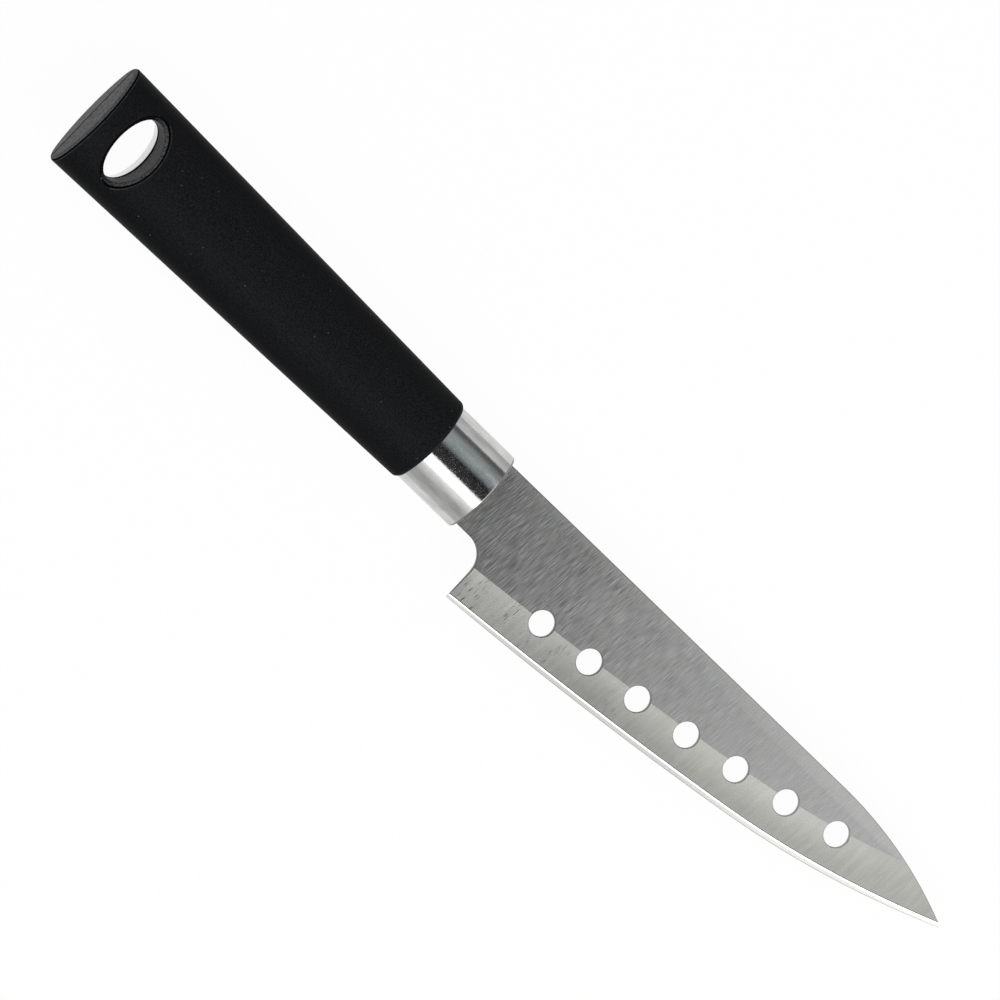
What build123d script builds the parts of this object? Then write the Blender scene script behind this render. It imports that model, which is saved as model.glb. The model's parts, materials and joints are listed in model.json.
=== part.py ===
from build123d import *
import math
import os

# A small kitchen knife lying on its side, in millimetres.
# It is drawn with X from the butt towards the tip, Y from the cutting edge towards the spine and
# Z up, square to the blade. X is 0 at the butt, Y at the handle's axis and Z half way through the
# blade. At the end all pieces move together, so that the origin is the centre of the box's bottom.

# Handle
handle_length = 89.7
handle_butt_width = 23.2
handle_front_width = 18.7
handle_butt_thickness = 15.8
handle_front_thickness = 15.4
handle_wall = 2.2
handle_butt_round = 0.9
handle_shoulder_round = 1.0
butt_crown = 0.4

# Hanging hole, an oval straight through the handle near its butt
hanging_hole_centre = 9.55
hanging_hole_length = 8.3
hanging_hole_width = 14.4
hanging_hole_draft = 0.5
hanging_hole_round = 1.0
hanging_hole_wall = 3.4

# Sections of handle and ferrule: ovals of four arcs, the side arcs' radius a share of half the height
handle_side_share = 0.75
ferrule_side_share = 0.6

# Ferrule between handle and blade
ferrule_length = 14.2
ferrule_width = 17.7
ferrule_thickness = 12.0
ferrule_wall = 0.7
ferrule_front_round = 0.6
ferrule_rear_round = 0.2

# Blade, from the ferrule's front to the tip
blade_length = 125.7
blade_thickness = 1.25
neck_length = 4.1
neck_depth = 7.55
notch_radius = 4.8
heel_depth = 18.75
heel_angle = 3.8
belly_depth = 11.43
belly_share = 0.59
spine_height = 7.5
spine_rise = 0.45
point_length = 33.9
tip_height = 1.55
tip_round = 0.2

# Grinds of the blade, alike on both sides; the edge bevel is narrower at heel and tip
grind_heel_width = 7.5
grind_tip_width = 9.0
edge_shoulder_thickness = 0.4
edge_bevel_width = 1.15
edge_bevel_end_width = 0.8
edge_thickness = 0.06
grind_section_count = 7

# Row of holes in the blade, from the heel's corner to a place behind the tip
blade_hole_count = 7
blade_hole_diameter = 5.2
blade_hole_row_start = 17.1
blade_hole_row_height = 8.9
blade_hole_row_end = 28.45
blade_hole_row_drop = 1.07
blade_hole_row_sag = 1.25

# Tang, the blade's tail inside the handle
tang_length = 62.0
tang_width = 11.0
tang_end_width = 8.0
tang_end_round = 2.0
tang_hole_count = 2
tang_hole_diameter = 4.2
tang_hole_inset = 10.1
tang_hole_pitch = 20.0

# Inside of the handle
nose_length = 9.0
nose_clearance = 0.1
tang_side_clearance = 0.3
slot_clearance = 0.1
cavity_front_wall = 5.0
rib_count = 5
rib_thickness = 1.4
boss_diameter = 7.0
peg_diameter = 3.6
peg_height = 3.4
peg_clearance = 0.15
rear_peg_inset = 6.5

# One overrun for every cut, far enough to pass any face
overrun = 1.0

# Places along the knife
ferrule_front = handle_length + ferrule_length
tip_x = ferrule_front + blade_length
heel_x = ferrule_front + neck_length + notch_radius
spine_break_x = tip_x - point_length
tang_end_x = ferrule_front - tang_length
tang_hole_places = [
    tang_end_x + tang_hole_inset + index * tang_hole_pitch for index in range(tang_hole_count)
]
nose_front = handle_length + nose_length
cavity_start = hanging_hole_centre + hanging_hole_length / 2 + hanging_hole_wall
cavity_end = handle_length - cavity_front_wall
rear_peg_x = cavity_start + rear_peg_inset

# Sizes worked out from the ones above
cut_height = handle_butt_thickness / 2 + overrun
tang_half = blade_thickness / 2


def handle_width_at(x):
    """Width of the handle at a place along it; the taper is straight."""
    return handle_butt_width + (handle_front_width - handle_butt_width) * x / handle_length


def handle_thickness_at(x):
    """Thickness of the handle at a place along it."""
    return handle_butt_thickness + (handle_front_thickness - handle_butt_thickness) * x / handle_length


def oval(x, width, thickness, side_share):
    """An oval face square to the knife's axis, made of two side arcs and two flatter arcs."""
    half_width = width / 2
    half_height = thickness / 2
    side_radius = half_height * side_share
    side_centre = half_width - side_radius
    flat_rise = side_centre**2 + half_height**2 - side_radius**2
    flat_radius = flat_rise / (2 * (half_height - side_radius))
    between_centres = flat_radius - side_radius
    meet_y = side_centre + side_radius * side_centre / between_centres
    meet_z = side_radius * (flat_radius - half_height) / between_centres
    corners = [(meet_y, -meet_z), (meet_y, meet_z), (-meet_y, meet_z), (-meet_y, -meet_z)]
    middles = [(half_width, 0), (0, half_height), (-half_width, 0), (0, -half_height)]
    arcs = [
        ThreePointArc(corners[index], middles[index], corners[(index + 1) % len(corners)])
        for index in range(len(corners))
    ]
    return Plane(origin=(x, 0, 0), x_dir=(0, 1, 0), z_dir=(1, 0, 0)) * make_face(arcs)


def ferrule_bar(start, end, inset):
    """A stretch of the ferrule's straight oval, made smaller all round by an inset."""
    section = oval(start, ferrule_width - 2 * inset, ferrule_thickness - 2 * inset, ferrule_side_share)
    return extrude(section, amount=end - start)


def handle_bar(start, end, inset):
    """A stretch of the handle's tapered oval, made smaller all round by an inset."""
    ends = [
        oval(x, handle_width_at(x) - 2 * inset, handle_thickness_at(x) - 2 * inset, handle_side_share)
        for x in (start, end)
    ]
    return loft(ends, ruled=True)


def flat_oval(length, width, x, z):
    """An oval face lying flat at a height."""
    return Pos(x, 0, z) * Ellipse(length / 2, width / 2)


def round_post(x, diameter, start, end):
    """A round post square to the blade, from one height to another."""
    return Pos(x, 0, start) * extrude(Circle(diameter / 2), amount=end - start)


def blade_outline():
    """Outline of blade and tang, and the curve of the cutting edge."""
    spine_front = (ferrule_front, spine_height)
    spine_break = (spine_break_x, spine_height + spine_rise)
    tip = (tip_x, tip_height)
    heel = (heel_x, -heel_depth)
    belly = (heel_x + (tip_x - heel_x) * belly_share, -belly_depth)
    notch_end = (heel_x, -neck_depth - notch_radius)
    notch_start = (ferrule_front + neck_length, -neck_depth)
    neck_front = (ferrule_front, -neck_depth)

    heel_tangent = (math.cos(math.radians(heel_angle)), math.sin(math.radians(heel_angle)))
    spine = Line(spine_front, spine_break)
    point = TangentArc(spine_break, tip, tangent=spine % 1)
    rear_edge = TangentArc(heel, belly, tangent=heel_tangent)
    front_edge = TangentArc(belly, tip, tangent=rear_edge % 1)
    heel_side = Line(heel, notch_end)
    neck = Line(neck_front, notch_start)
    notch = TangentArc(notch_start, notch_end, tangent=neck % 1)

    tang = Polyline(
        neck_front,
        (ferrule_front, -tang_width / 2),
        (tang_end_x, -tang_end_width / 2),
        (tang_end_x, tang_end_width / 2),
        (ferrule_front, tang_width / 2),
        spine_front,
    )
    outline = make_face(Wire([spine, point, front_edge, rear_edge, heel_side, notch, neck, *tang.edges()]))
    tang_corners = outline.vertices().filter_by(lambda corner: corner.X < tang_end_x + tang_end_round)
    outline = fillet(tang_corners, radius=tang_end_round)
    outline = fillet(outline.vertices().sort_by(Axis.X)[-1], radius=tip_round)
    return outline, rear_edge, front_edge


def grind_section(place, ahead, share):
    """Section of the metal ground off the upper side, square to the edge at a share of its length."""
    grind_width = grind_heel_width + (grind_tip_width - grind_heel_width) * (1 - (1 - share) ** 2)
    narrowing = (edge_bevel_width - edge_bevel_end_width) * (2 * share - 1) ** 4
    bevel_width = edge_bevel_width - narrowing
    shoulder = edge_shoulder_thickness / 2
    grind_rate = (tang_half - shoulder) / (grind_width - bevel_width)
    bevel_rate = (shoulder - edge_thickness / 2) / bevel_width
    inside = grind_width + overrun
    points = [
        (inside, tang_half + overrun * grind_rate),
        (bevel_width, shoulder),
        (-overrun, edge_thickness / 2 - overrun * bevel_rate),
        (-overrun, tang_half + overrun),
        (inside, tang_half + overrun),
    ]
    inward = Vector(-ahead.Y, ahead.X)
    return Plane(origin=place, x_dir=inward, z_dir=ahead) * make_face(Polyline(*points, close=True))


def blade_grind(rear_edge, front_edge):
    """The metal that grinding and sharpening take off the upper side."""
    edge = Wire([rear_edge, front_edge])
    sections = [grind_section((edge @ 0) - (edge % 0) * overrun, edge % 0, 0)]
    for index in range(grind_section_count):
        share = index / (grind_section_count - 1)
        sections.append(grind_section(edge @ share, edge % share, share))
    sections.append(grind_section((edge @ 1) + (edge % 1) * overrun, edge % 1, 1))
    return loft(sections)


def blade_hole_places():
    """Centres of the blade's holes, evenly spaced along a shallow arc."""
    first = (heel_x + blade_hole_row_start, -heel_depth + blade_hole_row_height)
    last = (tip_x - blade_hole_row_end, tip_height - blade_hole_row_drop)
    row = SagittaArc(first, last, -blade_hole_row_sag)
    return [row @ (index / (blade_hole_count - 1)) for index in range(blade_hole_count)]


def make_blade():
    """Stamped plate with its grinds, holes and tang."""
    outline, rear_edge, front_edge = blade_outline()
    blade = extrude(outline, amount=blade_thickness / 2, both=True)
    grind = blade_grind(rear_edge, front_edge)
    blade -= grind
    blade -= mirror(grind, about=Plane.XY)
    hole = extrude(Circle(blade_hole_diameter / 2), amount=blade_thickness / 2 + overrun, both=True)
    for place in blade_hole_places():
        blade -= Pos(place.X, place.Y, 0) * hole
    for x in tang_hole_places:
        blade -= round_post(x, tang_hole_diameter, -tang_half - overrun, tang_half + overrun)
    return blade


def tang_room(start, end):
    """The flat room that the tang fills, with clearance along its sides."""
    taper_rate = (tang_width - tang_end_width) / tang_length

    def width_at(x):
        return tang_width + 2 * tang_side_clearance - (ferrule_front - x) * taper_rate

    corners = [
        (start, -width_at(start) / 2),
        (end, -width_at(end) / 2),
        (end, width_at(end) / 2),
        (start, width_at(start) / 2),
    ]
    return extrude(make_face(Polyline(*corners, close=True)), amount=blade_thickness / 2, both=True)


def make_ferrule():
    """Drawn cap with a slot for the tang in its closed front."""
    ferrule = ferrule_bar(handle_length, ferrule_front, 0)
    ferrule = fillet(ferrule.edges().group_by(Axis.X)[-1], radius=ferrule_front_round)
    ferrule = fillet(ferrule.edges().group_by(Axis.X)[0], radius=ferrule_rear_round)
    ferrule -= ferrule_bar(handle_length - overrun, ferrule_front - ferrule_wall, ferrule_wall)
    slot = Box(
        ferrule_wall + 2 * overrun,
        tang_width + 2 * slot_clearance,
        blade_thickness + 2 * slot_clearance,
    )
    return ferrule - Pos(ferrule_front - ferrule_wall / 2, 0, 0) * slot


def bar_in_ferrule(start, end):
    """An oval bar that fits the ferrule's inside with the nose's clearance."""
    return ferrule_bar(start, end, ferrule_wall + nose_clearance)


def make_ferrule_seal():
    """Cast filling round the tang, behind the ferrule's closed front."""
    seal = bar_in_ferrule(nose_front, ferrule_front - ferrule_wall)
    return seal - tang_room(nose_front - overrun, ferrule_front + overrun)


def butt_draft_wedge():
    """What the upper half loses at the butt, so that its end face leans out to the joint line."""
    lean = butt_crown / (handle_butt_thickness / 2)
    corners = [(0, 0), (lean * cut_height, cut_height), (-overrun, cut_height), (-overrun, 0)]
    side = Plane.XZ * make_face(Polyline(*corners, close=True))
    return extrude(side, amount=handle_butt_width, both=True)


def hanging_hole_cutter():
    """Upper half of the hanging hole, a little wider at the surface than at the joint line."""
    spread = 2 * hanging_hole_draft / (handle_butt_thickness / 2)
    waist_length = hanging_hole_length - 2 * hanging_hole_draft
    waist_width = hanging_hole_width - 2 * hanging_hole_draft
    ends = [
        flat_oval(waist_length + spread * z, waist_width + spread * z, hanging_hole_centre, z)
        for z in (0, cut_height)
    ]
    return loft(ends, ruled=True)


def upper_edges(solid, start, end):
    """Edges of an upper half that lie above its joint face, between two places along the knife."""
    return solid.edges().filter_by(
        lambda edge: start < edge.center().X < end and edge.center().Z > blade_thickness
    )


def half_body():
    """Outside of the upper half: tapered oval, leaning butt and rounded rims."""
    upper = split(handle_bar(0, handle_length, 0), bisect_by=Plane.XY, keep=Keep.TOP)
    upper -= butt_draft_wedge()
    butt_arch = upper_edges(upper, -overrun, hanging_hole_centre / 2)
    upper = fillet(butt_arch, radius=handle_butt_round)
    shoulder_arch = upper_edges(upper, handle_length - handle_shoulder_round, handle_length + overrun)
    upper = fillet(shoulder_arch, radius=handle_shoulder_round)
    upper -= hanging_hole_cutter()
    hole_reach = hanging_hole_length / 2 + hanging_hole_round
    hole_edges = upper_edges(upper, hanging_hole_centre - hole_reach, hanging_hole_centre + hole_reach)
    rim = hole_edges.filter_by(lambda edge: edge.bounding_box().min.Z > blade_thickness)
    return fillet(rim, radius=hanging_hole_round)


def half_cavity():
    """Hollow of the upper half, less the ribs and bosses that stand in it."""
    cavity = split(handle_bar(cavity_start, cavity_end, handle_wall), bisect_by=Plane.XY, keep=Keep.TOP)
    rib_pitch = (cavity_end - cavity_start) / (rib_count + 1)
    rib = Box(rib_thickness, handle_butt_width, handle_butt_thickness)
    for index in range(rib_count):
        cavity -= Pos(cavity_start + rib_pitch * (index + 1), 0, 0) * rib
    for x in (rear_peg_x, *tang_hole_places):
        cavity -= round_post(x, boss_diameter, 0, cut_height)
    return cavity


def half_shell():
    """What both halves share: body, hollow, nose and room for the tang."""
    nose_root = handle_length - cavity_front_wall / 2
    nose = split(bar_in_ferrule(nose_root, nose_front), bisect_by=Plane.XY, keep=Keep.TOP)
    shell = half_body() - half_cavity() + nose
    return shell - tang_room(tang_end_x - tang_side_clearance, nose_front + overrun)


def make_handle_upper_half():
    """Half shell towards the viewer, with a socket for each peg."""
    half = half_shell()
    for x in (rear_peg_x, *tang_hole_places):
        socket_diameter = peg_diameter + 2 * peg_clearance
        half -= round_post(x, socket_diameter, -overrun, peg_height + peg_clearance)
    return half


def make_handle_lower_half():
    """Half shell away from the viewer, with a peg on each boss."""
    half = mirror(half_shell(), about=Plane.XY)
    for x in (rear_peg_x, *tang_hole_places):
        half += round_post(x, peg_diameter, -tang_half - overrun, peg_height)
    return half


def make_knife():
    """All pieces by name, moved so that the origin is the centre of the box's bottom."""
    pieces = {
        "blade": make_blade(),
        "ferrule": make_ferrule(),
        "ferrule_seal": make_ferrule_seal(),
        "handle_upper_half": make_handle_upper_half(),
        "handle_lower_half": make_handle_lower_half(),
    }
    box = Compound(children=[Compound(piece.solids()) for piece in pieces.values()]).bounding_box()
    to_origin = Pos(-box.center().X, -box.center().Y, -box.min.Z)
    return {name: to_origin * piece for name, piece in pieces.items()}


os.makedirs("parts", exist_ok=True)
for node, piece in make_knife().items():
    export_step(piece, f"parts/{node}.step")
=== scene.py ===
import json
import logging
import math
from collections.abc import Callable
from dataclasses import dataclass, field, replace
from enum import Enum

import bmesh
import bpy
from bmesh.types import BMEdge, BMesh, BMFace, BMVert
from bpy.types import ID, Material, Node, NodeSocket, NodeTree, Object
from mathutils import Matrix, Vector

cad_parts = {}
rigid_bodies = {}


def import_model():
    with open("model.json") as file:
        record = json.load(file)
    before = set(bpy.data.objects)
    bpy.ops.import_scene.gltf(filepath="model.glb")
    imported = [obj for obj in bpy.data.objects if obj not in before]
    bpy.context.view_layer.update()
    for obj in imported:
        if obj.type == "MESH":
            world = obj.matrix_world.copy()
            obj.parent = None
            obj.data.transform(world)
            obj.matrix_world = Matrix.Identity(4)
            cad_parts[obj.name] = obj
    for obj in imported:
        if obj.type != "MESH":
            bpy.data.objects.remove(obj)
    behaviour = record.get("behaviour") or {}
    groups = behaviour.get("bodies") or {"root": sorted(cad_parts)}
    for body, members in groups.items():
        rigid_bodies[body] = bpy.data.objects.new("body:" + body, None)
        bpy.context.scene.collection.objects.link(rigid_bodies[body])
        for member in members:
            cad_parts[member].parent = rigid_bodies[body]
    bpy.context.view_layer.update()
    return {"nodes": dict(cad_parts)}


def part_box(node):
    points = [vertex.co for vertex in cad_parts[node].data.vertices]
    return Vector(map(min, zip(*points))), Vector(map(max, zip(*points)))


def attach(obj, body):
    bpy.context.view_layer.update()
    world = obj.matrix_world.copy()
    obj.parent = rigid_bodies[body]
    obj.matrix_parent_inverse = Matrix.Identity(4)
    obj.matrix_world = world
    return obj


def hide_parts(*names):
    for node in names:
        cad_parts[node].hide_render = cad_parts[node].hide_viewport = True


LOG = logging.getLogger("paring_knife")

# Sizes of the knife are in millimetres, as in the part's source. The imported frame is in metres.
MM = 0.001

# Vertices closer than this become one, in millimetres.
MERGE = 0.0005

# Vertex layer that numbers the points of a section.
ROW = "row"

# The blade's UV maps: one square to the brushing, one with distances from the zones' borders.
BRUSHING = "brushing"
BORDERS = "borders"

# Mean value of a noise pattern.
NOISE_MEAN = 0.5

Pair = tuple[float, float]
Point = tuple[float, float, float]
Colour = tuple[float, float, float]

# Start and end of a range, in metres where it is a length, and the result at each of them.
Ramp = tuple[float, float, float, float]

# Scale of a noise pattern, number of its finer layers, and strength of each finer layer.
Grain = tuple[float, float, float]


class Zone(Enum):
    """Kinds of surface on the blade, which differ in finish."""

    FLAT = 0
    GRIND = 1
    EDGE = 2
    RIM = 3


class Moulding(Enum):
    """Kinds of surface on the handle, which differ in finish, some of them in painted light and shade."""

    BODY = 0
    # Coarser grain, with a lighter colour that is painted light.
    END = 1
    # Dark: painted shade along rims, and a dark joint along the joint.
    RIM = 2
    WALL = 3
    # Pale: painted light.
    LIP = 4
    # Painted highlight.
    PAINTED_HIGHLIGHT = 5
    # Lighter bend into the hole's wall: painted light.
    BEND = 6


def grey(level: float) -> Colour:
    """Gives the grey of a level."""
    return (level, level, level)


def spaced(start: float, end: float, steps: int) -> list[float]:
    """Gives evenly spaced numbers, with both ends."""
    return [start + (end - start) * step / steps for step in range(steps + 1)]


def rounding(radius: float, steps: int) -> list[Pair]:
    """Gives the steps over a rounded end: how far in along the knife, and how far in from its side."""
    turns = spaced(0.0, math.pi / 2, steps)
    return [(radius * (1 - math.cos(turn)), radius * (1 - math.sin(turn))) for turn in turns]


@dataclass(frozen=True)
class Seat:
    """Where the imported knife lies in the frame, in metres."""

    butt_x: float
    axis_y: float
    middle_z: float

    @classmethod
    def from_frame(cls) -> "Seat":
        """Reads the knife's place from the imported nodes.

        Returns:
            The place of the butt, the handle's axis and the blade's middle plane.
        """
        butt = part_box("handle_upper_half")[0]
        ferrule_low, ferrule_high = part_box("ferrule")
        blade_low, blade_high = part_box("blade")
        return cls(butt.x, (ferrule_low.y + ferrule_high.y) / 2, (blade_low.z + blade_high.z) / 2)

    def point(self, x: float, y: float, z: float) -> Vector:
        """Turns a place on the knife in millimetres into one in the frame."""
        return Vector((self.butt_x + x * MM, self.axis_y + y * MM, self.middle_z + z * MM))

    def settle(self, mesh: BMesh) -> None:
        """Moves a mesh that was drawn in millimetres from the butt to its place in the frame."""
        bmesh.ops.scale(mesh, vec=(MM, MM, MM), verts=mesh.verts)
        bmesh.ops.translate(mesh, vec=self.point(0, 0, 0), verts=mesh.verts)


@dataclass(frozen=True)
class Oval:
    """A section of four arcs: two narrow ones at the sides, two flatter ones above and below."""

    width: float
    thickness: float
    side_share: float

    @property
    def side_radius(self) -> float:
        """Radius of the arcs at the sides."""
        return self.thickness / 2 * self.side_share

    @property
    def side_centre(self) -> float:
        """Distance of the side arcs' centres from the middle."""
        return self.width / 2 - self.side_radius

    @property
    def flat_radius(self) -> float:
        """Radius of the arcs above and below."""
        rise = self.side_centre**2 + (self.thickness / 2) ** 2 - self.side_radius**2
        return rise / (self.thickness - 2 * self.side_radius)

    @property
    def flat_centre(self) -> float:
        """Height of the upper arc's centre, which is below the middle."""
        return self.thickness / 2 - self.flat_radius

    @property
    def side_turn(self) -> float:
        """Angle from the side's outermost point to the place where the arcs meet."""
        return math.atan2(-self.flat_centre, self.side_centre)

    def angles(self, side_steps: int, flat_steps: int) -> list[float]:
        """Gives the angles of the upper half's normals, from 0 to a half turn.

        Args:
            side_steps: Number of steps on each side arc.
            flat_steps: Number of steps on the flatter arc.

        Returns:
            The angles, among them those where the arcs meet.
        """
        rising = spaced(0.0, self.side_turn, side_steps)[:-1]
        over = spaced(self.side_turn, math.pi - self.side_turn, flat_steps)
        return rising + over + [math.pi - angle for angle in reversed(rising)]

    def place(self, angle: float, inset: float = 0.0) -> Pair:
        """Finds the point of the upper outline whose normal has an angle.

        Args:
            angle: Angle of the normal, from 0 to a half turn.
            inset: Distance inwards from the outline.

        Returns:
            Its y and z.
        """
        turned = min(angle, math.pi - angle)
        if turned <= self.side_turn:
            y, z, radius = self.side_centre, 0.0, self.side_radius - inset
        else:
            y, z, radius = 0.0, self.flat_centre, self.flat_radius - inset
        y += radius * math.cos(turned)
        z += radius * math.sin(turned)
        return (y if angle <= math.pi / 2 else -y), max(z, 0.0)

    def ring(self, x: float, inset: float, side_steps: int, flat_steps: int) -> list[Point]:
        """Gives a closed ring of points round the section, at a place along the knife."""
        over = [self.place(angle, inset) for angle in self.angles(side_steps, flat_steps)]
        return [(x, y, z) for y, z in over] + [(x, y, -z) for y, z in reversed(over[1:-1])]

    def height_at(self, y: float) -> float:
        """Height of the upper, flatter arc at a distance from the middle."""
        return self.flat_centre + math.sqrt(self.flat_radius**2 - y**2)

    def slope_at(self, y: float) -> float:
        """Change of that height with y."""
        return -y / math.sqrt(self.flat_radius**2 - y**2)


def sweep(mesh: BMesh, sections: list[list[Point]], closed: bool) -> tuple[list[BMEdge], list[BMEdge]]:
    """Extrudes a first section through the others, so that a skin of quads joins them.

    Args:
        mesh: Mesh that takes the skin.
        sections: Points of each section, as many in each.
        closed: Whether each section is a closed loop.

    Returns:
        The edges of the first section and those of the last.
    """
    row = mesh.verts.layers.int.get(ROW) or mesh.verts.layers.int.new(ROW)
    verts = [mesh.verts.new(point) for point in sections[0]]
    for index, vert in enumerate(verts):
        vert[row] = index
    following = verts[1:] + verts[:1] if closed else verts[1:]
    first = edges = [mesh.edges.new(pair) for pair in zip(verts, following)]
    for section in sections[1:]:
        edges = extrude_to(mesh, edges, section)
    return first, edges


def extrude_to(mesh: BMesh, edges: list[BMEdge], places: list[Point | Vector]) -> list[BMEdge]:
    """Extrudes edges once and sets the new vertices at given places.

    Args:
        mesh: Mesh that holds the edges.
        edges: Edges to extrude.
        places: New place for each value of the vertices' row.

    Returns:
        The new edges.
    """
    row = mesh.verts.layers.int[ROW]
    made = bmesh.ops.extrude_edge_only(mesh, edges=edges)["geom"]
    new_verts = {item for item in made if isinstance(item, BMVert)}
    for vert in new_verts:
        vert.co = places[vert[row]]
    return [item for item in made if isinstance(item, BMEdge) and new_verts.issuperset(item.verts)]


def mark_beside(edges: list[BMEdge], kind: Enum) -> None:
    """Gives the one face beside each border edge its kind of surface."""
    for edge in edges:
        edge.link_faces[0].material_index = kind.value


def round_edges(mesh: BMesh, edges: list[BMEdge], reach: float, kind: Enum) -> None:
    """Rounds edges over a reach to each side, and gives the rounding its kind of surface."""
    settings = {"segments": 2, "profile": 0.5, "affect": "EDGES"}
    bmesh.ops.bevel(mesh, geom=edges, offset=reach, material=kind.value, **settings)


def face_outwards(mesh: BMesh) -> None:
    """Turns the faces of a closed mesh outwards.

    Args:
        mesh: The mesh.
    """
    bmesh.ops.recalc_face_normals(mesh, faces=mesh.faces)
    if mesh.calc_volume(signed=True) < 0:
        bmesh.ops.reverse_faces(mesh, faces=mesh.faces)


def merge(mesh: BMesh) -> None:
    """Makes one vertex of those that lie on each other."""
    bmesh.ops.remove_doubles(mesh, verts=mesh.verts, dist=MERGE)


def add_object(name: str, data: ID) -> Object:
    """Adds an object to the scene.

    Args:
        name: Name of the object.
        data: Its mesh, lamp or camera.

    Returns:
        The object, at the origin.
    """
    item = bpy.data.objects.new(name, data)
    bpy.context.scene.collection.objects.link(item)
    return item


def to_object(name: str, mesh: BMesh) -> Object:
    """Turns a mesh into an object of the scene.

    Args:
        name: Name of the object.
        mesh: Its mesh, which is used up.

    Returns:
        The object, at the origin.
    """
    data = bpy.data.meshes.new(name)
    mesh.to_mesh(data)
    mesh.free()
    return add_object(name, data)


def cut_away(mesh: BMesh, cutter: BMesh, kinds: type[Enum]) -> BMesh:
    """Takes the shape of one mesh out of another.

    Args:
        mesh: Mesh that is cut.
        cutter: Closed mesh of what is taken away.
        kinds: Kinds of surface on the first mesh.

    Returns:
        The cut mesh. The two given meshes are used up.
    """
    body, tool = to_object("body", mesh), to_object("tool", cutter)
    blanks = [bpy.data.materials.new(kind.name) for kind in kinds]
    for blank in blanks:
        body.data.materials.append(blank)
    modifier = body.modifiers.new("cut", "BOOLEAN")
    modifier.operation = "DIFFERENCE"
    modifier.solver = "EXACT"
    modifier.object = tool
    result = bmesh.new()
    result.from_mesh(body.evaluated_get(bpy.context.evaluated_depsgraph_get()).to_mesh())
    bpy.data.batch_remove(ids=[body, tool, body.data, tool.data, *blanks])
    return result


class Nodes:
    """A node tree under construction: adds nodes and links them in short calls."""

    def __init__(self, tree: NodeTree) -> None:
        """Starts to work on a tree."""
        self.tree = tree

    def put(self, node: Node, name: str | int, value: NodeSocket | float | Point) -> None:
        """Links a node's input, or sets its constant value.

        Args:
            node: The node.
            name: Name or number of its input.
            value: Socket to link, or the constant value.
        """
        socket = node.inputs[name]
        if isinstance(value, NodeSocket):
            self.tree.links.new(value, socket)
        else:
            socket.default_value = (*value, 1) if socket.type == "RGBA" else value

    def add(self, kind: str, inputs: dict | None = None, **settings: str | bool) -> Node:
        """Adds a node.

        Args:
            kind: Type of the node, without the word that all types start with.
            inputs: Socket or constant value for each input's name or number.
            settings: The node's other settings.

        Returns:
            The node.
        """
        node = self.tree.nodes.new(f"ShaderNode{kind}")
        for name, setting in settings.items():
            setattr(node, name, setting)
        for name, value in (inputs or {}).items():
            self.put(node, name, value)
        return node

    def spread(self, value: NodeSocket, ramp: Ramp, shape: str = "LINEAR") -> NodeSocket:
        """Maps a value by a ramp and holds it at the ramp's ends."""
        inputs = dict(zip(("From Min", "From Max", "To Min", "To Max"), ramp), Value=value)
        return self.add("MapRange", inputs, interpolation_type=shape).outputs["Result"]

    def calculate(self, operation: str, *values: NodeSocket | float) -> NodeSocket:
        """Combines values by an operation of the Math node."""
        return self.add("Math", dict(enumerate(values)), operation=operation).outputs[0]

    def plus(self, first: NodeSocket, second: NodeSocket | float) -> NodeSocket:
        """Adds two values."""
        return self.calculate("ADD", first, second)

    def times(self, first: NodeSocket, second: NodeSocket) -> NodeSocket:
        """Multiplies two values."""
        return self.calculate("MULTIPLY", first, second)

    def blend(self, share: NodeSocket, first: NodeSocket | Colour, second: Colour) -> NodeSocket:
        """Blends two colours by the second one's share."""
        inputs = {"Factor": share, "A": first, "B": second}
        return self.add("Mix", inputs, data_type="RGBA").outputs["Result"]


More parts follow.
